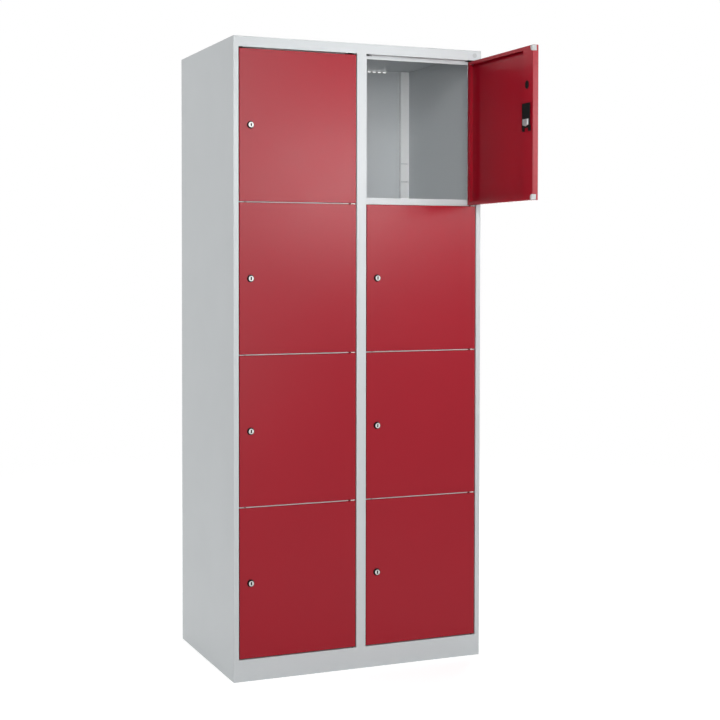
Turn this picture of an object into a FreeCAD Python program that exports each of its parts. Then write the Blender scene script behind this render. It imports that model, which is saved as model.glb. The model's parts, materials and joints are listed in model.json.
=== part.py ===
import FreeCAD, Part
import math
import os

Vector = FreeCAD.Vector

# Steel compartment locker: two columns of four doors, each with its own cam lock.
# Millimetres, +Z up, front towards -Y, origin on the floor under the middle of the footprint.

# Cabinet
cabinet_width = 800.0
cabinet_depth = 500.0
cabinet_height = 1850.0
row_count = 4
sheet = 1.0
bend_radius = 1.0

# Front frame and the gaps round the doors
stile_width = 15.5
post_width = 30.0
fascia_height = 30.0
plinth_height = 63.4
side_gap = 2.5
top_gap = 4.2
row_gap = 3.4
bottom_gap = 3.0

# Door stops behind the doors
stop_depth = 22.5
lock_stop = 12.0
hinge_stop = 20.0
top_stop = 11.0
stop_rise = 17.6
return_lock_notch = 18.5
return_hinge_notch = 29.0

# Folded edges of the carcass sheets
rear_flange = 14.0
foot_flange = 20.0
weld_flange = 15.0
weld_margin = 1.0
shelf_hem = 12.0
fit_clearance = 0.2

# Nose of a shelf, a double hem that fills the gap between two doors
nose_setback = 2.5
nose_lock_notch = 20.0
nose_hinge_notch = 23.0

# Rear corner posts, with two hook slits in every compartment
rear_post_width = 31.0
rear_post_depth = 13.0
rear_post_foot = 11.0
slit_length = 28.0
slit_height = 3.0
slit_rises = (81.0, 141.8)

# Ventilation slots under every ceiling
vent_count = 13
vent_pitch = 18.8
vent_length = 11.5
vent_height = 3.6
vent_drop = 1.5

# Door pan
door_thickness = 18.0
door_edge_chamfer = 1.2
lock_flange = 52.0
hinge_flange = 12.0
end_flange = 10.0
spare_hole_width = 15.0
spare_hole_height = 21.0
spare_hole_corner = 4.5
spare_hole_rise = 109.0
open_angle = 90.6

# Pivot hinges: steel pins in nylon blocks
hinge_inset = 7.9
hinge_depth = 5.3
pin_diameter = 5.0
pin_clearance = 0.1
pin_hole_sides = 16
pin_engagement = 9.0
block_width = 12.6
block_edge_inset = 1.6
block_setback = 4.0
block_gap = 0.5
block_tab_width = 8.0
block_tab_length = 5.0
block_tab_height = 2.0
block_socket_sides = 8
end_block_depth = 14.0
end_block_height = 8.0
top_block_rise = 18.0

# Cam lock
lock_inset = 33.75
bezel_width = 21.6
bezel_face_width = 17.0
bezel_sides = 24
bezel_height = 6.0
barrel_width = 18.0
barrel_sides = 8
core_width = 15.0
core_sides = 16
core_height = 2.4
core_proud = 0.3
core_clearance = 0.4
key_slot_width = 4.4
key_slot_height = 9.6
key_slot_depth = 6.0
drive_width = 7.0
drive_clearance = 0.5
tongue_width = 14.0
tongue_thickness = 1.8
tongue_gap = 0.4
tongue_throw = 5.0
tongue_corner = 4.0
neck_width = 12.0
hub_width = 28.5
hub_shift = 2.5
hub_rise = 12.0
hub_shoulder = 4.8
hub_point = 8.8
hub_height = 2.6
hub_gap = 0.3
hub_chamfer = 1.2
cam_clearance = 0.6
slot_clearance = 0.3
swing_clearance = 1.0

# Rear case of the lock, on the lock flange, open towards the free edge for the tongue
case_inset = 11.2
case_width = 40.4
case_above = 57.0
case_below = 22.5
case_height = 3.7
case_wall = 1.2
case_corner = 1.5
case_notch_width = 22.6
case_notch_height = 10.0

# Corner buffers on the free edge of a door
buffer_height = 16.5
buffer_width = 8.0
buffer_reach = 10.5
buffer_inset = 1.0
buffer_side = 1.2
buffer_stop_gap = 0.5
buffer_corner = 6.0
buffer_outer_corner = 2.0
buffer_edge = 1.0

# Plain badge on the fascia
badge_width = 14.0
badge_sides = 24
badge_thickness = 0.8
badge_inset = 23.0
badge_drop = 15.0

# Places worked out from the sizes above
front = -cabinet_depth / 2
wall = cabinet_width / 2
wall_inside = wall - sheet
stile_edge = wall - stile_width
post_edge = post_width / 2
partition_face = sheet / 2
partition_flange = post_edge - 2 * sheet
roof = cabinet_height - sheet
fascia_bottom = cabinet_height - fascia_height
back_face = cabinet_depth / 2 - sheet
inside_back = back_face - sheet
stop_plane = front + stop_depth
shelf_plane = stop_plane + sheet
rear_post_plane = inside_back - rear_post_depth

door_width = stile_edge - post_edge - 2 * side_gap
door_rows_height = fascia_bottom - top_gap - plinth_height - bottom_gap
door_height = (door_rows_height - (row_count - 1) * row_gap) / row_count
floor_level = plinth_height + bottom_gap + stop_rise
top_stop_end = fascia_bottom - top_stop
door_lefts = (-stile_edge + side_gap, post_edge + side_gap)
lock_rise = door_height / 2

pin_radius = pin_diameter / 2
pivot_x = door_width - hinge_inset
tongue_length = lock_inset + side_gap + sheet + tongue_throw
tongue_depth = door_thickness + tongue_gap
tongue_back = tongue_depth + tongue_thickness
case_back = door_thickness + case_height
case_middle = case_inset + case_width / 2
hub_front = case_back + hub_gap
core_face = -bezel_height - core_proud
core_seat = core_face + core_height


def door_bottom(row):
    """Lower edge of the doors in a row, counted from the top."""
    return fascia_bottom - top_gap - door_height - row * (door_height + row_gap)


def shelf_level(row):
    """Top face of the shelf or floor under a row."""
    return door_bottom(row) + stop_rise


def box(x, y, z):
    """Block between pairs of limits along the three axes."""
    size = [limits[1] - limits[0] for limits in (x, y, z)]
    return Part.makeBox(*size, Vector(x[0], y[0], z[0]))


def fuse(shapes):
    """One clean solid out of touching pieces."""
    return shapes[0].multiFuse(shapes[1:]).removeSplitter()


def edges_along(shape, direction, points):
    """Edges parallel to a direction that pass through one of the points."""
    found = []
    for edge in shape.Edges:
        if edge.Curve.TypeId != "Part::GeomLine":
            continue
        if abs(edge.Curve.Direction.dot(direction)) < 0.999:
            continue
        start = edge.Vertexes[0].Point
        for point in points:
            offset = start - point
            if (offset - direction * offset.dot(direction)).Length < 1e-6:
                found.append(edge)
    return found


def folded_sheet(path, side, place, sweep, rounded=()):
    """Sheet folded along the line of its outer face, with the metal on one side of that line.

    side is 1 for the left of the path and -1 for its right, place maps a point of the path
    into space, and rounded lists the bends that get their bend radius."""
    normals = []
    for (ax, ay), (bx, by) in zip(path, path[1:]):
        length = math.hypot(bx - ax, by - ay)
        normals.append((-side * (by - ay) / length, side * (bx - ax) / length))
    inner = []
    for number, (px, py) in enumerate(path):
        near = [normals[i] for i in (number - 1, number) if 0 <= i < len(normals)]
        inner.append((px + sheet * sum(n[0] for n in near), py + sheet * sum(n[1] for n in near)))
    outline = [place(*point) for point in path + inner[::-1]]
    solid = Part.Face(Part.makePolygon(outline + outline[:1])).extrude(sweep)
    direction = Vector(sweep).normalize()
    for number in rounded:
        before, after = normals[number - 1], normals[number]
        turn = before[0] * after[1] - before[1] * after[0]
        corners = (path[number], inner[number])
        if turn * side < 0:
            corners = corners[::-1]
        for corner, radius in zip(corners, (bend_radius + sheet, bend_radius)):
            solid = solid.makeFillet(radius, edges_along(solid, direction, [place(*corner)]))
    return solid


def prism(outline, start, end):
    """Solid with an outline seen from the front, between two depths."""
    points = [Vector(x, start, z) for x, z in outline]
    return Part.Face(Part.makePolygon(points + points[:1])).extrude(Vector(0, end - start, 0))


def cut_corners(x, z, corner):
    """Outline of a rectangle between two limits each way, with its corners cut off."""
    return [(x[0] + corner, z[0]), (x[1] - corner, z[0]), (x[1], z[0] + corner), (x[1], z[1] - corner),
            (x[1] - corner, z[1]), (x[0] + corner, z[1]), (x[0], z[1] - corner), (x[0], z[0] + corner)]


def many_sided(sides, width, x, z):
    """Regular outline by its number of sides, its width over flats and its middle."""
    radius = width / 2 / math.cos(math.pi / sides)
    turns = [(number + 0.5) * 2 * math.pi / sides for number in range(sides)]
    return [(x + radius * math.cos(turn), z + radius * math.sin(turn)) for turn in turns]


def plan(x, y):
    """Point of a plan profile, at the floor."""
    return Vector(x, y, 0)


def upright(sides, width, x, y, height):
    """Many-sided upright bar from level zero, by its width over flats."""
    points = [plan(*point) for point in many_sided(sides, width, x, y)]
    return Part.Face(Part.makePolygon(points + points[:1])).extrude(Vector(0, 0, height))


def hinge_x(column):
    """Pivot line of a column's doors."""
    return door_lefts[column] + pivot_x


def gap_level(row):
    """Middle of the gap under a row of doors."""
    return door_bottom(row) - row_gap / 2


def block_limits(column):
    """Extent of a hinge block across the cabinet."""
    right = door_lefts[column] + door_width - block_edge_inset
    return (right - block_width, right)


def hinge_tab(column, row, clearance):
    """Tab of a hinge block, or with a clearance the slot that it passes through."""
    middle = sum(block_limits(column)) / 2
    half_width = block_tab_width / 2 + clearance
    half_height = block_tab_height / 2 + clearance
    level = gap_level(row)
    return box((middle - half_width, middle + half_width),
               (stop_plane, stop_plane + block_tab_length),
               (level - half_height, level + half_height))


def swept_rise(distance):
    """Height of the arc that the tongue's end draws at a distance from the lock's axis."""
    return math.sqrt(tongue_length ** 2 - distance ** 2) + swing_clearance


def strike_slots(column):
    """Slots in the frame beside a column's lock edge, one for every tongue."""
    edge = door_lefts[column] - side_gap
    slots = []
    for row in range(row_count):
        axis = door_bottom(row) + lock_rise
        low = axis - tongue_width / 2 - swing_clearance
        high = axis + swept_rise(lock_inset + side_gap)
        slots.append(box((edge - 2 * sheet, edge + sheet),
                         (front + tongue_depth - slot_clearance, front + tongue_back + slot_clearance),
                         (low, high)))
    return slots


def tab_slots(column):
    """Slots behind a column's hinge edge, one for every hinge block between two doors."""
    return [hinge_tab(column, row, fit_clearance) for row in range(row_count - 1)]


def stop_ends(x):
    """Ends of an upright door stop, where the head and the base carry their own stops."""
    y = (stop_plane, shelf_plane)
    return [box(x, y, (0, floor_level)), box(x, y, (top_stop_end, cabinet_height))]


def side_panel(hand):
    """Side wall with its stile and door stop: hand is -1 for the left side and 1 for the right."""
    stop = lock_stop if hand < 0 else hinge_stop
    across = (wall - rear_flange, wall, wall, stile_edge, stile_edge, stile_edge - stop)
    back = cabinet_depth / 2
    along = (back, back, front, front, stop_plane, stop_plane)
    path = [(hand * x, y) for x, y in zip(across, along)]
    panel = folded_sheet(path, -hand, plan, Vector(0, 0, roof), rounded=(1, 2))
    limits = sorted((hand * (stile_edge - stop), hand * (stile_edge + sheet)))
    cuts = strike_slots(0) if hand < 0 else tab_slots(1)
    return panel.cut(stop_ends(limits) + cuts)


def centre_post():
    """Hat section between the columns, with a door stop on each side."""
    path = [(-post_edge - hinge_stop, stop_plane), (-post_edge, stop_plane), (-post_edge, front),
            (post_edge, front), (post_edge, stop_plane), (post_edge + lock_stop, stop_plane)]
    height = fascia_bottom - plinth_height
    post = folded_sheet(path, 1, lambda x, y: Vector(x, y, plinth_height), Vector(0, 0, height))
    ends = stop_ends((-post_edge - hinge_stop, post_edge + lock_stop))
    return post.cut(ends + strike_slots(1) + tab_slots(0))


def partition():
    """Wall between the columns, welded to the post and the back, on a folded foot."""
    path = [(partition_flange, front + sheet), (-partition_face, front + sheet),
            (-partition_face, inside_back), (partition_flange, inside_back)]
    wall_sheet = folded_sheet(path, -1, plan, Vector(0, 0, roof))
    x = (-post_edge, post_edge)
    y = (front, shelf_plane + weld_margin)
    corners = [box(x, y, (0, floor_level)), box(x, y, (top_stop_end, cabinet_height))]
    foot = box((-partition_face, foot_flange), (shelf_plane + weld_margin, inside_back), (0, sheet))
    return fuse([wall_sheet.cut(corners), foot])


def top_panel():
    """Roof, with the fascia and the upper door stop folded from its front edge into a box section."""
    path = [(inside_back, cabinet_height), (front, cabinet_height), (front, fascia_bottom),
            (stop_plane, fascia_bottom), (stop_plane, top_stop_end)]
    front_fold = folded_sheet(path, 1, lambda y, z: Vector(-stile_edge, y, z),
                              Vector(2 * stile_edge, 0, 0), rounded=(1,))
    roof_sheet = box((-wall, wall), (front + bend_radius + sheet, cabinet_depth / 2), (roof, cabinet_height))
    box_wall = box((-stile_edge, stile_edge), (stop_plane, shelf_plane), (top_stop_end, cabinet_height))
    flanges = [box_wall]
    for hand in (-1, 1):
        x = sorted((hand * wall_inside, hand * (wall_inside - sheet)))
        y = (shelf_plane + weld_margin, rear_post_plane - weld_margin)
        flanges.append(box(x, y, (roof - weld_flange, roof)))
    ends = []
    for hand in (-1, 1):
        x = sorted((hand * stile_edge, hand * wall))
        ends.append(box(x, (front, front + bend_radius + sheet), (roof, cabinet_height)))
    notches = []
    for left in door_lefts:
        start = left - side_gap
        end = left + door_width + side_gap
        for x in ((start, start + return_lock_notch), (end - return_hinge_notch, end)):
            notches.append(box(x, (front + sheet, stop_plane), (fascia_bottom, fascia_bottom + sheet)))
    return fuse([front_fold, roof_sheet] + flanges + ends).cut(notches)


def base_panel():
    """Plinth, lower door stop and floor of the bottom compartments."""
    path = [(front + foot_flange, 0), (front, 0), (front, plinth_height), (stop_plane, plinth_height),
            (stop_plane, floor_level), (stop_plane + foot_flange, floor_level)]
    front_fold = folded_sheet(path, -1, lambda y, z: Vector(-stile_edge, y, z), Vector(2 * stile_edge, 0, 0))
    floor = box((-wall_inside, wall_inside), (shelf_plane, inside_back), (floor_level - sheet, floor_level))
    flange_z = (floor_level - weld_flange, floor_level)
    flanges = [box((-wall_inside, wall_inside), (inside_back - sheet, inside_back), flange_z)]
    for hand in (-1, 1):
        x = sorted((hand * wall_inside, hand * (wall_inside - sheet)))
        flanges.append(box(x, (shelf_plane, inside_back), flange_z))
    half_slit = partition_face + fit_clearance
    cuts = [box((-half_slit, half_slit), (shelf_plane + weld_margin - fit_clearance, inside_back), flange_z),
            box((-half_slit, partition_flange + fit_clearance),
                (inside_back - sheet - fit_clearance, inside_back), flange_z)]
    for column in range(2):
        pivot = Vector(hinge_x(column), front + hinge_depth, plinth_height - sheet)
        cuts.append(Part.makeCylinder(pin_radius + pin_clearance, sheet, pivot))
    return fuse([front_fold, floor] + flanges).cut(cuts)


def back_panel():
    """Flat back with a row of ventilation slots under every ceiling."""
    half_width = wall_inside - bend_radius
    panel = box((-half_width, half_width), (inside_back, back_face), (0, roof))
    slots = []
    for left in door_lefts:
        middle = left + door_width / 2
        for row in range(row_count):
            ceiling = roof if row == 0 else shelf_level(row - 1) - sheet
            top = ceiling - vent_drop
            for number in range(vent_count):
                x = middle + (number - (vent_count - 1) / 2) * vent_pitch
                slots.append(box((x - vent_length / 2, x + vent_length / 2), (inside_back, back_face),
                                 (top - vent_height, top)))
    return panel.cut(Part.makeCompound(slots))


def column_walls(column):
    """Inner faces of the two walls of a column."""
    return (-wall_inside, -partition_face) if column == 0 else (partition_face, wall_inside)


def shelf(column, row):
    """Shelf under a row: front flange as a door stop, a double hem as a nose, welded edges."""
    level = shelf_level(row)
    left, right = column_walls(column)
    front_height = 2 * stop_rise + row_gap
    path = [(inside_back - sheet, level + weld_flange), (inside_back - sheet, level), (shelf_plane, level),
            (shelf_plane, level - front_height), (shelf_plane + shelf_hem, level - front_height)]
    tray = folded_sheet(path, 1, lambda y, z: Vector(left, y, z), Vector(right - left, 0, 0))
    door_left = door_lefts[column]
    nose = box((door_left + nose_lock_notch, door_left + door_width - nose_hinge_notch),
               (front + nose_setback, shelf_plane + sheet),
               (gap_level(row) - sheet, gap_level(row) + sheet))
    flange_y = (shelf_plane + 2 * sheet + bend_radius, rear_post_plane - weld_margin)
    flange_z = (level - weld_flange, level)
    flanges = [box((left, left + sheet), flange_y, flange_z), box((right - sheet, right), flange_y, flange_z)]
    notch = rear_post_width + rear_post_foot + fit_clearance
    notch_y = (rear_post_plane - fit_clearance, inside_back)
    notch_z = (level - sheet, level + weld_flange)
    notches = [box((left, left + notch), notch_y, notch_z), box((right - notch, right), notch_y, notch_z)]
    return fuse([tray, nose] + flanges).cut(notches + [hinge_tab(column, row, fit_clearance)])


def rear_post(wall_face, inward):
    """Upright in a rear corner, folded from sheet, with hook slits in its front face."""
    far = wall_face + inward * rear_post_width
    path = [(wall_face, rear_post_plane + rear_post_foot), (wall_face, rear_post_plane),
            (far, rear_post_plane), (far, inside_back - sheet),
            (far + inward * rear_post_foot, inside_back - sheet)]
    height = Vector(0, 0, roof - floor_level)
    post = folded_sheet(path, inward, lambda x, y: Vector(x, y, floor_level), height)
    middle = (wall_face + far) / 2
    slits = []
    for row in range(row_count):
        for rise in slit_rises:
            level = shelf_level(row) + rise
            slits.append(box((middle - slit_length / 2, middle + slit_length / 2),
                             (rear_post_plane, rear_post_plane + sheet),
                             (level - slit_height / 2, level + slit_height / 2)))
    return post.cut(slits)


def rear_posts():
    """The four rear uprights, one in each corner of the two columns."""
    posts = []
    for column in range(2):
        left, right = column_walls(column)
        posts += [rear_post(left, 1), rear_post(right, -1)]
    return Part.makeCompound(posts)


def pin_spans(column):
    """Lower and upper end of every hinge pin in a column, from the head down to the base."""
    head = fascia_bottom + top_block_rise
    spans = [(door_bottom(0) + door_height - pin_engagement, head + end_block_height)]
    for row in range(row_count - 1):
        reach = row_gap / 2 + pin_engagement
        spans.append((gap_level(row) - reach, gap_level(row) + reach))
    seat = plinth_height - sheet
    spans.append((seat - end_block_height, door_bottom(row_count - 1) + pin_engagement))
    return spans


def hinge_pins():
    """Steel pivot pins, each carried by a hinge block."""
    pins = []
    for column in range(2):
        for low, high in pin_spans(column):
            pivot = Vector(hinge_x(column), front + hinge_depth, low)
            pins.append(Part.makeCylinder(pin_radius, high - low, pivot))
    return Part.makeCompound(pins)


def hinge_blocks():
    """Nylon blocks: one in every gap between two doors, one behind the fascia, one under the plinth."""
    blocks = []
    end_y = (front + sheet, front + sheet + end_block_depth)
    head = fascia_bottom + top_block_rise
    seat = plinth_height - sheet
    for column in range(2):
        x = block_limits(column)
        bodies = [box(x, end_y, (head, head + end_block_height)),
                  box(x, end_y, (seat - end_block_height, seat))]
        for row in range(row_count - 1):
            half = row_gap / 2 - block_gap
            level = gap_level(row)
            body = box(x, (front + block_setback, stop_plane), (level - half, level + half))
            bodies.append(fuse([body, hinge_tab(column, row, 0)]))
        bore = upright(block_socket_sides, pin_diameter, hinge_x(column), front + hinge_depth, cabinet_height)
        blocks += [body.cut(bore) for body in bodies]
    return Part.makeCompound(blocks)


def badge():
    """Plain disc at the right end of the fascia, without lettering."""
    outline = many_sided(badge_sides, badge_width, wall - badge_inset, cabinet_height - badge_drop)
    return prism(outline, front - badge_thickness, front)


# Door pieces in the door's own place: x from the lock edge, y from the front face, z from the lower edge


def lock_bar(sides, width, start, end):
    """Many-sided bar on the lock's axis between two depths."""
    return prism(many_sided(sides, width, lock_inset, lock_rise), start, end)


def lock_taper(sides, widths, start, end):
    """Many-sided taper on the lock's axis, by its width at each of two depths."""
    rings = []
    for width, depth in zip(widths, (start, end)):
        outline = many_sided(sides, width, lock_inset, lock_rise)
        rings.append([Vector(x, depth, z) for x, z in outline])
    small, large = rings
    flanks = [[small[i - 1], small[i], large[i], large[i - 1]] for i in range(sides)]
    shell = Part.makeShell([Part.Face(Part.makePolygon(ring + ring[:1])) for ring in rings + flanks])
    shell.sewShape()
    return Part.makeSolid(shell)


def drive_square(start, end):
    """Square bar on the lock's axis, by which the core turns the cam."""
    half = drive_width / 2
    return box((lock_inset - half, lock_inset + half), (start, end), (lock_rise - half, lock_rise + half))


def door_pan():
    """Door folded into a shallow pan, with a closed channel for the lock and holes for the hinge pins."""
    outer = box((0, door_width), (0, door_thickness), (0, door_height))
    front_edges = [edge for edge in outer.Edges if edge.BoundBox.YMax < sheet]
    outer = outer.makeChamfer(door_edge_chamfer, front_edges)
    depth = (sheet, door_thickness - sheet)
    height = (sheet, door_height - sheet)
    channel = box((sheet, lock_flange - sheet), depth, height)
    tray = box((lock_flange, door_width - sheet), depth, height)
    inside = (door_thickness - sheet, door_thickness)
    window = box((lock_flange, door_width - hinge_flange), inside, (end_flange, door_height - end_flange))
    barrel_hole = lock_bar(barrel_sides, barrel_width + 2 * fit_clearance, 0, door_thickness)
    spare_x = (case_middle - spare_hole_width / 2, case_middle + spare_hole_width / 2)
    spare_middle = lock_rise + spare_hole_rise
    spare_z = (spare_middle - spare_hole_height / 2, spare_middle + spare_hole_height / 2)
    spare = prism(cut_corners(spare_x, spare_z, spare_hole_corner), *inside)
    pins = upright(pin_hole_sides, pin_diameter + 2 * pin_clearance, pivot_x, hinge_depth, door_height)
    return outer.cut([channel, tray, window, barrel_hole, spare, pins])


def lock_housing():
    """Tapered bezel with its barrel through the door, and the case on the flange behind it."""
    bezel = lock_taper(bezel_sides, (bezel_face_width, bezel_width), -bezel_height, 0)
    barrel = lock_bar(barrel_sides, barrel_width, 0, door_thickness)
    drive_room = math.sqrt(2) * drive_width + 2 * drive_clearance
    bore = lock_bar(barrel_sides, drive_room, -bezel_height, door_thickness)
    recess = lock_bar(core_sides, core_width + 2 * core_clearance, -bezel_height, core_seat + core_clearance)
    front_piece = fuse([bezel, barrel]).cut([bore, recess])

    low = lock_rise - case_below
    high = lock_rise + case_above
    case_end = case_inset + case_width
    block = prism(cut_corners((case_inset, case_end), (low, high), case_corner), door_thickness, case_back)
    tongue_room = box((0, case_end - case_wall), (door_thickness, case_back - case_wall),
                      (lock_rise - tongue_width / 2 - swing_clearance, high - case_wall))
    notch_top = low + case_notch_height
    notch = box((case_middle - case_notch_width / 2, case_middle + case_notch_width / 2),
                (door_thickness, case_back), (low, notch_top))
    neck_room = neck_width / math.cos(math.pi / barrel_sides) + 2 * cam_clearance
    window = lock_bar(barrel_sides, neck_room, door_thickness, case_back)
    return Part.makeCompound([front_piece, block.cut([notch, tongue_room, window])])


def lock_core():
    """Turning core with its key slot, and the square that drives the cam."""
    head = lock_bar(core_sides, core_width, core_face, core_seat)
    key_slot = box((lock_inset - key_slot_width / 2, lock_inset + key_slot_width / 2),
                   (core_face, core_face + key_slot_depth),
                   (lock_rise - key_slot_height / 2, lock_rise + key_slot_height / 2))
    return fuse([head, drive_square(core_seat, tongue_back)]).cut(key_slot)


def lock_cam():
    """Cam: a tongue that stands up inside the case when unlocked, and a shield-shaped hub outside it."""
    half = tongue_width / 2
    tongue = prism(cut_corners((lock_inset - half, lock_inset + half),
                               (lock_rise - half, lock_rise + tongue_length), tongue_corner),
                   tongue_depth, tongue_back)
    neck = lock_bar(barrel_sides, neck_width, tongue_back, hub_front)
    side = hub_width / 2
    shield = [(-side, hub_rise), (side, hub_rise), (side, -hub_shoulder), (0, -hub_point),
              (-side, -hub_shoulder)]
    hub_middle = lock_inset - hub_shift
    hub = prism([(hub_middle + x, lock_rise + z) for x, z in shield], hub_front, hub_front + hub_height)
    rim = [edge for edge in hub.Edges if edge.BoundBox.YMin > hub_front + hub_height / 2]
    hub = hub.makeChamfer(hub_chamfer, rim)
    return fuse([tongue, neck, hub]).cut(drive_square(tongue_depth, tongue_back))


def corner_buffers():
    """Buffers that cap the inner corners of the free edge and land on the door stop."""
    door = box((0, door_width), (0, door_thickness), (0, door_height))
    y = (door_thickness - buffer_reach, stop_depth - buffer_stop_gap)
    caps = []
    for end, inward in ((0, 1), (door_height, -1)):
        outer = end + inward * buffer_inset
        inner = end + inward * buffer_height
        bend = inward * buffer_corner
        outline = [(-buffer_side, outer), (buffer_width - buffer_outer_corner, outer),
                   (buffer_width, outer + inward * buffer_outer_corner), (buffer_width, inner - bend),
                   (buffer_width - buffer_corner / 3, inner - bend / 3),
                   (buffer_width - buffer_corner, inner), (-buffer_side, inner)]
        cap = prism(outline, *y)
        rear = [edge for edge in cap.Edges if edge.BoundBox.YMin > y[1] - buffer_edge / 2]
        caps.append(cap.makeChamfer(buffer_edge, rear).cut(door))
    return Part.makeCompound(caps)


def place_door_piece(shape, column, row):
    """Copy of a door piece in its opening; the upper right door stands open."""
    placed = shape.copy()
    placed.translate(Vector(door_lefts[column], front, door_bottom(row)))
    if column == 1 and row == 0:
        placed.rotate(Vector(hinge_x(column), front + hinge_depth, 0), Vector(0, 0, 1), open_angle)
    return placed


def build():
    """Every sub-part by its name."""
    pieces = {
        "left_side_panel": side_panel(-1),
        "right_side_panel": side_panel(1),
        "centre_post": centre_post(),
        "partition": partition(),
        "top_panel": top_panel(),
        "base_panel": base_panel(),
        "back_panel": back_panel(),
        "rear_posts": rear_posts(),
        "hinge_pins": hinge_pins(),
        "hinge_blocks": hinge_blocks(),
        "badge": badge(),
    }
    column_names = ("left", "right")
    for column, column_name in enumerate(column_names):
        for row in range(row_count - 1):
            pieces[f"shelf_{column_name}_{row + 1}"] = shelf(column, row)
    door_pieces = {
        "panel": door_pan(),
        "lock_housing": lock_housing(),
        "lock_core": lock_core(),
        "lock_cam": lock_cam(),
        "buffers": corner_buffers(),
    }
    for column, column_name in enumerate(column_names):
        for row in range(row_count):
            for name, shape in door_pieces.items():
                pieces[f"door_{column_name}_{row + 1}_{name}"] = place_door_piece(shape, column, row)
    return pieces


os.makedirs("parts", exist_ok=True)
for node, shape in build().items():
    shape.exportStep(f"parts/{node}.step")
    print(f"{node}: {len(shape.Solids)} solids, {shape.Volume / 1000:.1f} cm3, valid {shape.isValid()}")
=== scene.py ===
import json
import math

import bpy
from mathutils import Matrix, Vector


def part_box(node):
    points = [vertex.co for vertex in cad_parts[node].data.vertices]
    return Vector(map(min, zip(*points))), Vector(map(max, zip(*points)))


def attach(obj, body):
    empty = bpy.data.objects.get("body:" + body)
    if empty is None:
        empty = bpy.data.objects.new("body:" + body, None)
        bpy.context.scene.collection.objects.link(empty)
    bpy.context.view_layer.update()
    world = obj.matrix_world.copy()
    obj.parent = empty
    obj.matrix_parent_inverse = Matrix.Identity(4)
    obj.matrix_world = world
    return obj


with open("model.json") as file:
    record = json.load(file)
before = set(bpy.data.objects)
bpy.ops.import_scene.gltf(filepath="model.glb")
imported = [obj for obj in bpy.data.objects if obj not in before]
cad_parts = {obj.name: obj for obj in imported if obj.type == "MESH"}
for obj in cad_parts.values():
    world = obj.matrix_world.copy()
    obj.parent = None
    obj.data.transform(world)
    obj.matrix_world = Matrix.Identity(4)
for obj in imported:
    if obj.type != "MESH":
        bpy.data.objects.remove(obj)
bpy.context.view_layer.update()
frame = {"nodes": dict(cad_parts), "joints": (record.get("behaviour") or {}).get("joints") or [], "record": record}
nodes = frame["nodes"]
slot_of = {part["node"]: part["material_slot"] for part in frame["record"]["subparts"]}

# Paints and finishes, as linear colours
white = (1.0, 1.0, 1.0, 1.0)
unset_grey = (0.5, 0.5, 0.5, 1.0)
carcass_grey = (0.530, 0.556, 0.568, 1.0)
# Lighter copy of the carcass grey that paints in the brighter light on the rear posts' faces
lit_post_grey = (0.76, 0.775, 0.775, 1.0)
door_red = (0.296, 0.0022, 0.0122, 1.0)
lock_black = (0.0060, 0.0060, 0.0064, 1.0)
nickel = (0.52, 0.52, 0.51, 1.0)
zinc = (0.62, 0.63, 0.64, 1.0)
buffer_grey = (0.44, 0.45, 0.45, 1.0)
nylon_white = (0.92, 0.92, 0.90, 1.0)
pin_steel = (0.045, 0.045, 0.047, 1.0)
badge_grey = (0.42, 0.44, 0.45, 1.0)

# Noise in the finishes: scales per metre, and the range that noise values mostly fill
cloud_scale = 2.6
patch_scale = 9.0
peel_scale = 420.0
flow_scale = 60.0
grain_scale = 1500.0
spot_scale = 240.0
streak_scale = 900.0
streak_stretch = (1.0, 1.0, 0.08)
noise_roughness = 0.55
noise_low = 0.3
noise_high = 0.7

# Relief of the finishes: strength of the bump, and its depth in metres
paint_peel = (0.10, 0.0004)
coarse_grain = (0.25, 0.0002)
fine_grain = (0.20, 0.0002)
faint_streaks = (0.10, 0.0001)
drawn_streaks = (0.15, 0.0001)

# Kinds of group sockets, and the sockets of a colour Mix node by number
colour_kind = "NodeSocketColor"
value_kind = "NodeSocketFloat"
mix_factor = 0
mix_first = 6
mix_second = 7
mix_colour = 2

# Black lining that paints the shade inside a key slot, where the lock's inside is not modelled, in metres; the
# slot's edge lies within a share of the core's radius
slot_shade_gap = 0.0002
slot_shade_lip = 0.0003
slot_shade_depth = 0.0040
slot_shade_fold = 0.0012
slot_shade_skin = 0.00015
face_tolerance = 1e-5
slot_share = 0.8

# Black plug in the spare hole of a door's inner sheet, which also paints in the deep shade inside the hollow door,
# measured from the lock's axis, in metres
plug_shift = 0.00235
plug_rise = 0.109
plug_body = (0.0146, 0.0206, 0.0046)
plug_flange = (0.0178, 0.0232, 0.0056)
plug_dish = (0.0124, 0.0178, 0.0040)
plug_back = 0.0155
plug_seat = 0.01805
plug_face = 0.0187
plug_floor = 0.0174
plug_bevel = 0.0003

# Black pads behind the notches in the head's return, which paint the shade in the notches, in metres
head_gap = 0.0042
side_gap = 0.0025
stop_depth = 0.0225
lock_shade_pad = 0.0280
hinge_shade_pad = 0.0290
shade_pad_thickness = 0.0008
shade_pad_drop = 0.0015
shade_pad_height = 0.0120
shade_pad_corner = 0.0010

# Room left over and under the pieces between two doors, in metres
gap_play = 0.0005

# Nylon clips on the hinge pins between two doors, in metres
clip_radius = 0.0040
clip_bore = 0.0026
clip_flat = 0.00135
clip_steps = 8

# Lugs in the shelf noses' notches at the lock end, in metres
lug_setback = 0.0040
lug_start = 0.0030
lug_end = 0.0185
lug_sheet = 0.0008

# Black shims on the flanks of the hinge blocks between two doors, painting the shade beside the blocks, in metres
shim_inset = 0.0142
shim_setback = 0.0042
shim_thickness = 0.0006
shim_corner = 0.0006

# Feet of the rear posts lie flat on the back wall; this much of a post's rear counts, in metres
foot_cover = 0.0015

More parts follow.
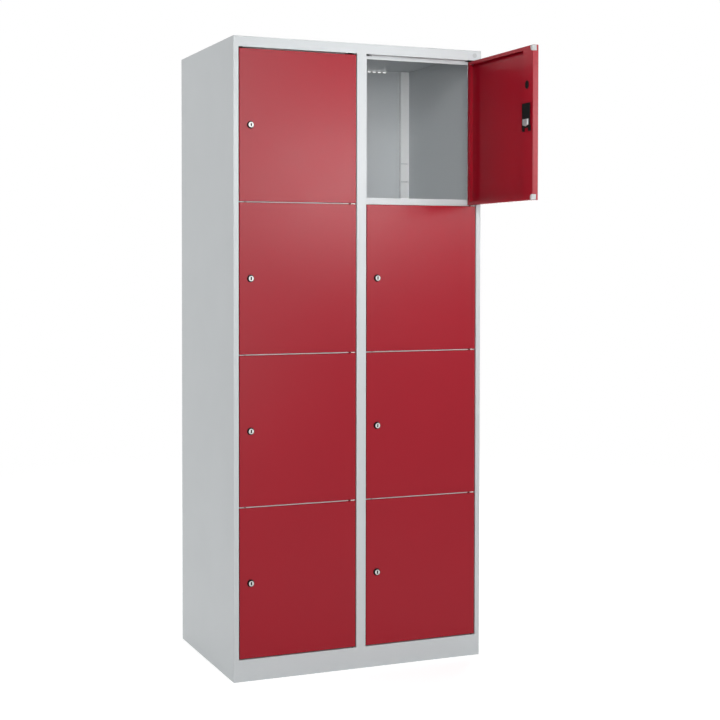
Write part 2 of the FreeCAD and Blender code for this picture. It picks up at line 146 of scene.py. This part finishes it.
# Studio floor, in metres, with the distances at which it starts and ends to fade
floor_sides = 96
floor_radius = 9.0
fade_start = 1.2
fade_end = 4.5
floor_grey = (0.70, 0.70, 0.70, 1.0)
floor_glow = 0.62

# Even light from all round, and the background as it is seen
world_tint = (0.97, 0.99, 1.0, 1.0)
world_strength = 0.18
background_strength = 1.0

# Studio lights: name, place and target in metres, width and height, power in watts, beam in degrees
wide_beam = 180.0
softboxes = (
    ("main_left", (-1.2, -4.3, 2.3), (0.0, -0.2, 1.1), (1.8, 2.4), 24.0, wide_beam),
    ("main_right", (0.6, -4.4, 2.3), (0.0, -0.2, 1.1), (1.6, 2.0), 34.0, wide_beam),
    ("near_softbox", (-0.3, -2.3, 1.75), (0.3, -0.2, 1.5), (0.6, 0.6), 13.0, wide_beam),
    ("compartment_light", (-0.60, -1.60, 2.20), (0.36, -0.10, 1.42), (0.35, 0.35), 0.51, 45.0),
    ("sheen_panel", (1.7, -4.25, 1.70), (0.0, -0.25, 1.4), (0.7, 0.6), 18.5, wide_beam),
    ("edge_panel", (2.75, -4.25, 2.05), (0.4, -0.62, 1.6), (0.5, 0.8), 19.0, wide_beam),
    ("side_softbox", (-4.0, 1.0, 1.9), (-0.4, 0.0, 1.1), (2.5, 2.5), 71.0, wide_beam),
    ("front_fill", (-1.9, -4.2, 0.9), (0.2, -0.2, 1.4), (1.2, 0.9), 19.0, wide_beam),
    ("left_fill", (-3.4, -2.4, 1.6), (0.2, -0.2, 1.2), (1.5, 1.5), 3.5, wide_beam),
    ("low_fill", (0.6, -4.4, 0.6), (0.0, -0.2, 0.4), (1.2, 0.8), 6.5, wide_beam),
    ("rear_softbox", (2.8, 3.6, 2.2), (0.0, 0.2, 1.0), (2.5, 2.5), 110.0, wide_beam),
    ("top_softbox", (0.0, 0.6, 4.0), (0.0, 0.2, 1.8), (1.5, 1.0), 18.0, wide_beam),
)

# Camera: place and reach in metres, angles in degrees, lens and sensor in millimetres
camera_place = (-1.6722, -3.8882, 1.1999)
camera_level = 90.0
camera_pitch = -1.5
camera_turn = -21.254
camera_lens = 67.678
camera_sensor = 36.0
camera_shift = (0.1107, -0.0832)
camera_reach = 60.0


def new_group(name, inputs, outputs):
    """Shader node group with named sockets; returns the group and its two end nodes."""
    group = bpy.data.node_groups.new(name, "ShaderNodeTree")
    for label, kind, value in inputs:
        socket = group.interface.new_socket(label, in_out="INPUT", socket_type=kind)
        socket.default_value = value
    for label, kind in outputs:
        group.interface.new_socket(label, in_out="OUTPUT", socket_type=kind)
    start = group.nodes.new("NodeGroupInput")
    end = group.nodes.new("NodeGroupOutput")
    return group, start, end


def add_node(tree, kind, **settings):
    """New node with its properties set, and its inputs set by name or number."""
    node = tree.nodes.new(kind)
    inputs = settings.pop("inputs", {})
    for key, value in settings.items():
        setattr(node, key, value)
    for key, value in inputs.items():
        node.inputs[key].default_value = value
    return node


def object_noise(tree, scale, detail, stretch=(1.0, 1.0, 1.0)):
    """Noise fixed to the object's own metres; its scale is a number or comes from a socket."""
    place = add_node(tree, "ShaderNodeTexCoord")
    mapping = add_node(tree, "ShaderNodeMapping", inputs={"Scale": stretch})
    noise = add_node(tree, "ShaderNodeTexNoise",
                     inputs={"Detail": detail, "Roughness": noise_roughness})
    tree.links.new(place.outputs["Object"], mapping.inputs["Vector"])
    tree.links.new(mapping.outputs["Vector"], noise.inputs["Vector"])
    if isinstance(scale, float):
        noise.inputs["Scale"].default_value = scale
    else:
        tree.links.new(scale, noise.inputs["Scale"])
    return noise.outputs["Fac"]


def spread_gloss(group, start, end, noise):
    """Noise mapped on to the range between the group's two gloss values, as its roughness."""
    gloss = add_node(group, "ShaderNodeMapRange",
                     inputs={"From Min": noise_low, "From Max": noise_high})
    group.links.new(noise, gloss.inputs["Value"])
    group.links.new(start.outputs["Gloss low"], gloss.inputs["To Min"])
    group.links.new(start.outputs["Gloss high"], gloss.inputs["To Max"])
    group.links.new(gloss.outputs["Result"], end.inputs["Roughness"])


def tint(group, start, end, label, shade):
    """Colour of the group multiplied by a grey value."""
    mix = add_node(group, "ShaderNodeMix", data_type="RGBA", blend_type="MULTIPLY",
                   inputs={mix_factor: 1.0})
    group.links.new(start.outputs[label], mix.inputs[mix_first])
    group.links.new(shade, mix.inputs[mix_second])
    group.links.new(mix.outputs[mix_colour], end.inputs[label])


def make_powder_coat_group():
    """Sprayed and baked paint: slow drift of tone, fine orange peel, patchy gloss."""
    group, start, end = new_group(
        "powder_coat",
        [("Paint", colour_kind, unset_grey), ("Tone drift", value_kind, 0.03),
         ("Peel scale", value_kind, peel_scale), ("Gloss low", value_kind, 0.34),
         ("Gloss high", value_kind, 0.42)],
        [("Paint", colour_kind), ("Roughness", value_kind), ("Peel", value_kind)])
    cloud = object_noise(group, cloud_scale, detail=3.0)
    shade = add_node(group, "ShaderNodeMapRange",
                     inputs={"From Min": noise_low, "From Max": noise_high, "To Min": -1.0})
    drift = add_node(group, "ShaderNodeMath", operation="MULTIPLY_ADD", inputs={2: 1.0})
    group.links.new(cloud, shade.inputs["Value"])
    group.links.new(shade.outputs["Result"], drift.inputs[0])
    group.links.new(start.outputs["Tone drift"], drift.inputs[1])
    tint(group, start, end, "Paint", drift.outputs[0])
    spread_gloss(group, start, end, object_noise(group, patch_scale, detail=4.0))
    peel = object_noise(group, start.outputs["Peel scale"], detail=2.0)
    group.links.new(peel, end.inputs["Peel"])
    return group


def make_moulding_group():
    """Injection-moulded plastic: spark-eroded grain and a little uneven gloss."""
    group, start, end = new_group(
        "moulded_plastic",
        [("Plastic", colour_kind, unset_grey), ("Grain scale", value_kind, grain_scale),
         ("Gloss low", value_kind, 0.40), ("Gloss high", value_kind, 0.55)],
        [("Plastic", colour_kind), ("Roughness", value_kind), ("Grain", value_kind)])
    grain = object_noise(group, start.outputs["Grain scale"], detail=3.0)
    group.links.new(grain, end.inputs["Grain"])
    flow = object_noise(group, flow_scale, detail=2.0)
    spread_gloss(group, start, end, flow)
    shade = add_node(group, "ShaderNodeMapRange", inputs={"To Min": 0.90, "To Max": 1.08})
    group.links.new(flow, shade.inputs["Value"])
    tint(group, start, end, "Plastic", shade.outputs["Result"])
    return group


def make_plating_group():
    """Plated metal: drawn streaks along the piece, dull spots in the plating."""
    group, start, end = new_group(
        "plated_metal",
        [("Metal", colour_kind, unset_grey), ("Streak scale", value_kind, streak_scale),
         ("Gloss low", value_kind, 0.20), ("Gloss high", value_kind, 0.34)],
        [("Metal", colour_kind), ("Roughness", value_kind), ("Streaks", value_kind)])
    streaks = object_noise(group, start.outputs["Streak scale"], detail=3.0, stretch=streak_stretch)
    group.links.new(streaks, end.inputs["Streaks"])
    spread_gloss(group, start, end, object_noise(group, spot_scale, detail=4.0))
    shade = add_node(group, "ShaderNodeMapRange", inputs={"To Min": 0.82, "To Max": 1.12})
    group.links.new(streaks, shade.inputs["Value"])
    tint(group, start, end, "Metal", shade.outputs["Result"])
    return group


def new_material(name):
    """Material with an empty tree but for its output; returns both and the surface socket."""
    material = bpy.data.materials.new(name)
    material.use_nodes = True
    tree = material.node_tree
    tree.nodes.clear()
    end = add_node(tree, "ShaderNodeOutputMaterial")
    return material, tree, end.inputs["Surface"]


def dressed(name, group, values, relief, bump_size, metallic=0.0, specular=0.5):
    """Finish made of one group: its first output is the colour, the relief output drives a bump."""
    material, tree, surface = new_material(name)
    strength, depth = bump_size
    shader = add_node(tree, "ShaderNodeBsdfPrincipled",
                      inputs={"Metallic": metallic, "Specular IOR Level": specular})
    effect = add_node(tree, "ShaderNodeGroup", node_tree=group, inputs=values)
    bump = add_node(tree, "ShaderNodeBump", inputs={"Strength": strength, "Distance": depth})
    tree.links.new(effect.outputs[0], shader.inputs["Base Color"])
    tree.links.new(effect.outputs["Roughness"], shader.inputs["Roughness"])
    tree.links.new(effect.outputs[relief], bump.inputs["Height"])
    tree.links.new(bump.outputs["Normal"], shader.inputs["Normal"])
    tree.links.new(shader.outputs["BSDF"], surface)
    return material


def paint_post_feet(material):
    """Feet of the rear posts in the grey of the back wall, the rest in a lighter copy of that grey, which paints
    in the brighter light seen on the posts' faces.
    """
    tree = material.node_tree
    effect = next(node for node in tree.nodes if node.type == "GROUP")
    foot_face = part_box("rear_posts")[1].y - foot_cover
    place = add_node(tree, "ShaderNodeTexCoord")
    axes = add_node(tree, "ShaderNodeSeparateXYZ")
    foot = add_node(tree, "ShaderNodeMath", operation="GREATER_THAN", inputs={1: foot_face})
    paint = add_node(tree, "ShaderNodeMix", data_type="RGBA",
                     inputs={mix_first: lit_post_grey, mix_second: carcass_grey})
    tree.links.new(place.outputs["Object"], axes.inputs["Vector"])
    tree.links.new(axes.outputs["Y"], foot.inputs[0])
    tree.links.new(foot.outputs[0], paint.inputs[mix_factor])
    tree.links.new(paint.outputs[mix_colour], effect.inputs["Paint"])


def make_finishes():
    """One material for every material slot of the record."""
    coat = make_powder_coat_group()
    moulding = make_moulding_group()
    plating = make_plating_group()
    return {
        "carcass_paint": dressed(
            "light_grey_powder_coat", coat,
            {"Paint": carcass_grey, "Tone drift": 0.012, "Gloss low": 0.36, "Gloss high": 0.42},
            "Peel", paint_peel, specular=0.45),
        # The rear posts take a lighter copy of the carcass paint, as painted light
        "post_paint": dressed(
            "post_grey_painted_lighter", coat,
            {"Paint": lit_post_grey, "Tone drift": 0.012, "Gloss low": 0.40, "Gloss high": 0.48},
            "Peel", paint_peel, specular=0.35),
        "door_paint": dressed(
            "ruby_red_powder_coat", coat,
            {"Paint": door_red, "Tone drift": 0.025, "Gloss low": 0.240, "Gloss high": 0.265},
            "Peel", paint_peel, specular=0.26),
        "lock_black": dressed(
            "black_lock_plastic", moulding, {"Plastic": lock_black},
            "Grain", coarse_grain, specular=0.07),
        "buffer_grey": dressed(
            "grey_buffer_plastic", moulding, {"Plastic": buffer_grey}, "Grain", coarse_grain),
        "hinge_nylon": dressed(
            "white_hinge_nylon", moulding, {"Plastic": nylon_white}, "Grain", fine_grain),
        "badge_disc": dressed(
            "plain_badge_plastic", moulding, {"Plastic": badge_grey}, "Grain", fine_grain),
        "lock_nickel": dressed(
            "nickel_lock_core", plating, {"Metal": nickel, "Gloss low": 0.42, "Gloss high": 0.55},
            "Streaks", faint_streaks, metallic=0.6, specular=0.3),
        "cam_zinc": dressed(
            "zinc_lock_cam", plating, {"Metal": zinc, "Gloss low": 0.26, "Gloss high": 0.42},
            "Streaks", drawn_streaks, metallic=0.85),
        "pin_steel": dressed(
            "blackened_hinge_steel", plating,
            {"Metal": pin_steel, "Gloss low": 0.45, "Gloss high": 0.60},
            "Streaks", drawn_streaks, metallic=1.0),
    }


def finish_cad_nodes(finishes):
    """Every sub-part takes the finish of its slot."""
    paint_post_feet(finishes["post_paint"])
    for name, piece in nodes.items():
        piece.data.materials.clear()
        piece.data.materials.append(finishes[slot_of[name]])


def new_piece(name, points, faces, finish, body):
    """Mesh piece that rides on a body and takes the finish of a slot."""
    mesh = bpy.data.meshes.new(name)
    mesh.from_pydata([tuple(point) for point in points], [], faces)
    mesh.materials.append(finish)
    piece = bpy.data.objects.new(name, mesh)
    bpy.context.scene.collection.objects.link(piece)
    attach(piece, body)
    return piece


def ring_walls(start, count):
    """Faces between a ring of points and the next ring, which has as many."""
    sides = [(start + i, start + (i + 1) % count) for i in range(count)]
    return [(first, second, second + count, first + count) for first, second in sides]


def new_prism(name, outline, sweep, finish, body):
    """Piece with one outline at both ends, anticlockwise as seen from the end of the sweep."""
    count = len(outline)
    points = outline + [point + sweep for point in outline]
    faces = [tuple(range(count - 1, -1, -1)), tuple(range(count, 2 * count))]
    new_piece(name, points, faces + ring_walls(0, count), finish, body)


def cut_corners(width, height, corner):
    """Outline of a plate with cut corners, about its own middle."""
    x = width / 2
    z = height / 2
    return [(corner - x, -z), (x - corner, -z), (x, corner - z), (x, z - corner),
            (x - corner, z), (corner - x, z), (-x, z - corner), (-x, corner - z)]


def lock_directions(turn):
    """Outward, up and sideways at a lock, from its joint."""
    outward = Vector(turn["axis"]).normalized()
    up = Vector((0.0, 0.0, 1.0))
    return outward, up, outward.cross(up)


def make_key_slot_shade(turn, finish):
    """Black lining in a key slot that paints in the shade of the lock's unmodelled inside: four walls, and two
    leaves that meet in a valley.
    """
    lock = turn["child"]
    core = nodes[lock.replace("lock_", "door_") + "_lock_core"]
    middle = Vector(turn["pos_m"])
    outward, up, side = lock_directions(turn)
    offsets = [vertex.co - middle for vertex in core.data.vertices]
    face = max(offset.dot(outward) for offset in offsets)
    rim = [offset - outward * face for offset in offsets
           if offset.dot(outward) > face - face_tolerance]
    radius = max(offset.length for offset in rim)
    slot_edge = [offset for offset in rim if offset.length < slot_share * radius]
    half_width = max(offset.dot(side) for offset in slot_edge) - slot_shade_gap
    half_height = max(offset.z for offset in slot_edge) - slot_shade_gap
    mouth = face - slot_shade_lip
    floor = face - slot_shade_depth
    valley = floor - slot_shade_fold
    corners = ((-1, -1), (1, -1), (1, 1), (-1, 1))
    places = [(x, z, mouth) for x, z in corners] + [(x, z, floor) for x, z in corners]
    places += [(0, -1, valley), (0, 1, valley)]
    points = [middle + side * (x * half_width) + up * (z * half_height) + outward * depth
              for x, z, depth in places]
    walls = [(0, 4, 8, 5, 1), (1, 5, 6, 2), (2, 6, 9, 7, 3), (3, 7, 4, 0)]
    leaves = [(4, 7, 9, 8), (8, 9, 6, 5)]
    slot_shade = new_piece(f"{lock}_key_slot_shade", points, walls + leaves, finish, lock)
    skin = slot_shade.modifiers.new("skin", "SOLIDIFY")
    skin.thickness = slot_shade_skin
    skin.offset = -1.0


def make_hole_shade_plug(turn, finish):
    """Black blanking plug in the spare hole over a lock's case, whose black also paints in the deep shade behind
    the hole: body, flange on the inner sheet, dished face.
    """
    lock = turn["child"]
    door = lock.replace("lock_", "door_")
    axis = Vector(turn["pos_m"])
    outward, up, side = lock_directions(turn)
    panel = nodes[f"{door}_panel"].data
    front = max((vertex.co - axis).dot(outward) for vertex in panel.vertices)
    middle = axis + outward * front + side * plug_shift + up * plug_rise
    body = cut_corners(*plug_body)
    flange = cut_corners(*plug_flange)
    flange_top = cut_corners(*(size - 2 * plug_bevel for size in plug_flange))
    dish = cut_corners(*plug_dish)
    rings = [(body, plug_back), (body, plug_seat), (flange, plug_seat),
             (flange, plug_face - plug_bevel), (flange_top, plug_face),
             (dish, plug_face), (dish, plug_floor)]
    points = [middle + side * x + up * z - outward * depth
              for ring, depth in rings for x, z in ring]
    count = len(body)
    last = count * (len(rings) - 1)
    faces = [tuple(range(count - 1, -1, -1)), tuple(range(last, last + count))]
    for start in range(0, last, count):
        faces += ring_walls(start, count)
    new_piece(f"{door}_hole_shade_plug", points, faces, finish, door)


def make_notch_shade_pad(name, x, finish):
    """Thin black pad with cut corners on the head's inner wall, behind a notch of its return, painting the shade
    seen in the notch.
    """
    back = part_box("top_panel")[0].y + stop_depth
    fascia_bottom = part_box("door_left_1_panel")[1].z + head_gap
    middle = Vector((sum(x) / 2, back, fascia_bottom + (shade_pad_height - shade_pad_drop) / 2))
    outline = cut_corners(x[1] - x[0], shade_pad_height + shade_pad_drop, shade_pad_corner)
    rear_face = [middle + Vector((px, 0.0, pz)) for px, pz in outline]
    sweep = Vector((0.0, -shade_pad_thickness, 0.0))
    new_prism(name, rear_face, sweep, finish, "carcass")


def make_pin_clip(name, axis, z, finish):
    """Crescent in front of a hinge pin, with its ends on the face of the hinge block."""
    outline = []
    for radius, turn in ((clip_radius, -1.0), (clip_bore, 1.0)):
        reach = math.acos(clip_flat / radius)
        for step in range(clip_steps + 1):
            angle = turn * reach * (1.0 - 2.0 * step / clip_steps)
            x = axis.x + radius * math.sin(angle)
            y = axis.y - radius * math.cos(angle)
            outline.append(Vector((x, y, z[0])))
    sweep = Vector((0.0, 0.0, z[1] - z[0]))
    new_prism(name, outline, sweep, finish, "carcass")


def make_nose_lug(name, x, front, z, finish):
    """Angle in a notch of a shelf nose: an upright face, and a web back to the door stop."""
    face = front + lug_setback
    stop = front + stop_depth
    outline = [(face, z[0]), (stop, z[0]), (stop, z[0] + lug_sheet),
               (face + lug_sheet, z[0] + lug_sheet), (face + lug_sheet, z[1]), (face, z[1])]
    end_face = [Vector((x[0], py, pz)) for py, pz in outline]
    sweep = Vector((x[1] - x[0], 0.0, 0.0))
    new_prism(name, end_face, sweep, finish, "carcass")


def make_block_shade_shim(name, x, front, z, finish):
    """Thin black shim with cut corners on a hinge block's flank, towards the end of the shelf nose, painting the
    shade beside the block.
    """
    depth = (front + shim_setback, front + stop_depth)
    middle = Vector((x, sum(depth) / 2, sum(z) / 2))
    outline = cut_corners(depth[1] - depth[0], z[1] - z[0], shim_corner)
    flank_face = [middle + Vector((0.0, -py, pz)) for py, pz in outline]
    sweep = Vector((-shim_thickness, 0.0, 0.0))
    new_prism(name, flank_face, sweep, finish, "carcass")


def make_column_pieces(column, axes, finishes):
    """Black pads of painted shade over a column, and clips, lugs and black shims of painted shade between its
    doors.
    """
    black = finishes["lock_black"]
    door_low, door_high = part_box(f"door_{column}_2_panel")
    front = door_low.y
    lock_end = door_low.x - side_gap
    hinge_end = door_high.x + side_gap
    lug_x = (lock_end + lug_start, lock_end + lug_end)
    shade_shim_x = door_high.x - shim_inset
    make_notch_shade_pad(f"{column}_lock_notch_shade_pad", (lock_end, lock_end + lock_shade_pad), black)
    make_notch_shade_pad(f"{column}_hinge_notch_shade_pad", (hinge_end - hinge_shade_pad, hinge_end), black)
    for gap in (1, 2, 3):
        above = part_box(f"door_{column}_{gap}_panel")[0].z
        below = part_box(f"door_{column}_{gap + 1}_panel")[1].z
        z = (below + gap_play, above - gap_play)
        axis = axes[f"door_{column}_{gap + 1}"]
        make_pin_clip(f"{column}_pin_clip_{gap}", axis, z, finishes["hinge_nylon"])
        make_nose_lug(f"{column}_nose_lug_{gap}", lug_x, front, z, finishes["carcass_paint"])
        make_block_shade_shim(f"{column}_block_shade_shim_{gap}", shade_shim_x, front, z, black)


def make_small_pieces(finishes):
    """Black slot lining of painted shade and black plug at every lock, and the small pieces of both columns."""
    black = finishes["lock_black"]
    axes = {joint["child"]: Vector(joint["pos_m"]) for joint in frame["joints"]}
    for joint in frame["joints"]:
        if joint["child"].startswith("lock_"):
            make_key_slot_shade(joint, black)
            make_hole_shade_plug(joint, black)
    for column in ("left", "right"):
        make_column_pieces(column, axes, finishes)


def add_seen_rays(tree):
    """1 for rays that show the surroundings: straight to the camera, mirrored or let through."""
    path = add_node(tree, "ShaderNodeLightPath")
    direct = add_node(tree, "ShaderNodeMath", operation="MAXIMUM")
    seen = add_node(tree, "ShaderNodeMath", operation="MAXIMUM")
    tree.links.new(path.outputs["Is Camera Ray"], direct.inputs[0])
    tree.links.new(path.outputs["Is Glossy Ray"], direct.inputs[1])
    tree.links.new(direct.outputs[0], seen.inputs[0])
    tree.links.new(path.outputs["Is Transmission Ray"], seen.inputs[1])
    return seen.outputs[0]


def make_floor():
    """Pale floor that keeps the shadow and fades into the background."""
    bpy.ops.mesh.primitive_circle_add(
        vertices=floor_sides, radius=floor_radius, fill_type="NGON", location=(0, 0, 0))
    floor = bpy.context.object
    floor.name = "studio_floor"
    material, tree, surface = new_material("pale_studio_floor")
    place = add_node(tree, "ShaderNodeTexCoord")
    reach = add_node(tree, "ShaderNodeVectorMath", operation="LENGTH")
    fade = add_node(tree, "ShaderNodeMapRange", interpolation_type="SMOOTHSTEP",
                    inputs={"From Min": fade_start, "From Max": fade_end,
                            "To Min": 1.0, "To Max": 0.0})
    clear = add_node(tree, "ShaderNodeBsdfTransparent")
    bright = add_node(tree, "ShaderNodeMath", operation="MULTIPLY", inputs={1: floor_glow})
    matt = add_node(tree, "ShaderNodeBsdfDiffuse", inputs={"Color": floor_grey})
    glow = add_node(tree, "ShaderNodeEmission", inputs={"Color": white})
    lit = add_node(tree, "ShaderNodeAddShader")
    mixed = add_node(tree, "ShaderNodeMixShader")
    tree.links.new(place.outputs["Object"], reach.inputs[0])
    tree.links.new(reach.outputs["Value"], fade.inputs["Value"])
    tree.links.new(add_seen_rays(tree), bright.inputs[0])
    tree.links.new(bright.outputs[0], glow.inputs["Strength"])
    tree.links.new(matt.outputs[0], lit.inputs[0])
    tree.links.new(glow.outputs[0], lit.inputs[1])
    tree.links.new(fade.outputs["Result"], mixed.inputs["Fac"])
    tree.links.new(clear.outputs[0], mixed.inputs[1])
    tree.links.new(lit.outputs[0], mixed.inputs[2])
    tree.links.new(mixed.outputs[0], surface)
    floor.data.materials.append(material)


def make_world():
    """White background, and a softer even light from all round."""
    world = bpy.data.worlds.new("studio_world")
    bpy.context.scene.world = world
    world.use_nodes = True
    tree = world.node_tree
    tree.nodes.clear()
    end = add_node(tree, "ShaderNodeOutputWorld")
    soft = add_node(tree, "ShaderNodeBackground",
                    inputs={"Color": world_tint, "Strength": world_strength})
    bright = add_node(tree, "ShaderNodeBackground",
                      inputs={"Color": white, "Strength": background_strength})
    mixed = add_node(tree, "ShaderNodeMixShader")
    tree.links.new(add_seen_rays(tree), mixed.inputs["Fac"])
    tree.links.new(soft.outputs[0], mixed.inputs[1])
    tree.links.new(bright.outputs[0], mixed.inputs[2])
    tree.links.new(mixed.outputs[0], end.inputs["Surface"])


def add_softbox(name, place, target, size, power, beam):
    """Rectangular soft light that points at a target and stays out of the picture."""
    light = bpy.data.lights.new(name, "AREA")
    light.shape = "RECTANGLE"
    light.size, light.size_y = size
    light.energy = power
    light.spread = math.radians(beam)
    lamp = bpy.data.objects.new(name, light)
    bpy.context.scene.collection.objects.link(lamp)
    lamp.location = place
    aim = Vector(target) - lamp.location
    lamp.rotation_euler = aim.to_track_quat("-Z", "Y").to_euler()
    lamp.visible_camera = False


def make_camera():
    """Camera at the photograph's viewpoint, almost level."""
    data = bpy.data.cameras.new("photo_camera")
    camera = bpy.data.objects.new("photo_camera", data)
    bpy.context.scene.collection.objects.link(camera)
    tilt = math.radians(camera_level + camera_pitch)
    camera.location = camera_place
    camera.rotation_euler = (tilt, 0.0, math.radians(camera_turn))
    data.sensor_width = camera_sensor
    data.lens = camera_lens
    data.shift_x, data.shift_y = camera_shift
    data.clip_end = camera_reach
    bpy.context.scene.camera = camera


finishes = make_finishes()
finish_cad_nodes(finishes)
make_small_pieces(finishes)
make_floor()
make_world()
for softbox in softboxes:
    add_softbox(*softbox)
make_camera()
bpy.context.scene.view_settings.view_transform = "Standard"
